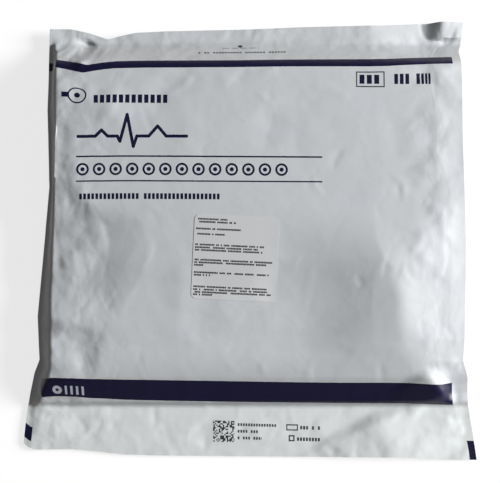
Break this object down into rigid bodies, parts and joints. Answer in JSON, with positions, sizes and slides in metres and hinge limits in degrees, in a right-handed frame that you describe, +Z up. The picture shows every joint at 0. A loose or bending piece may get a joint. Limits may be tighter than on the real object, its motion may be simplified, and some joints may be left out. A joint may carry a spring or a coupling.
{
  "type": "sealed pouch of ecg electrodes",
  "caption": "Flat sealed film pouch of foam electrodes, filled out by the cards inside, with crimped seals, a bottom flap and a square paper label.",
  "frame": {"origin": "middle of the underside of the pouch's box, at table level", "axes": "+X across the pouch to the reader's right, +Y towards its top seal, +Z up out of its printed front"},
  "size_m": [0.2598, 0.2546, 0.026],
  "materials": {
    "barrier_film": "semi-gloss white laminate with dark violet print",
    "label_paper": "matt white coated paper"
  },
  "bodies": {
    "root": {"pouch": "barrier_film", "applied_label": "label_paper"}
  },
  "joints": []
}
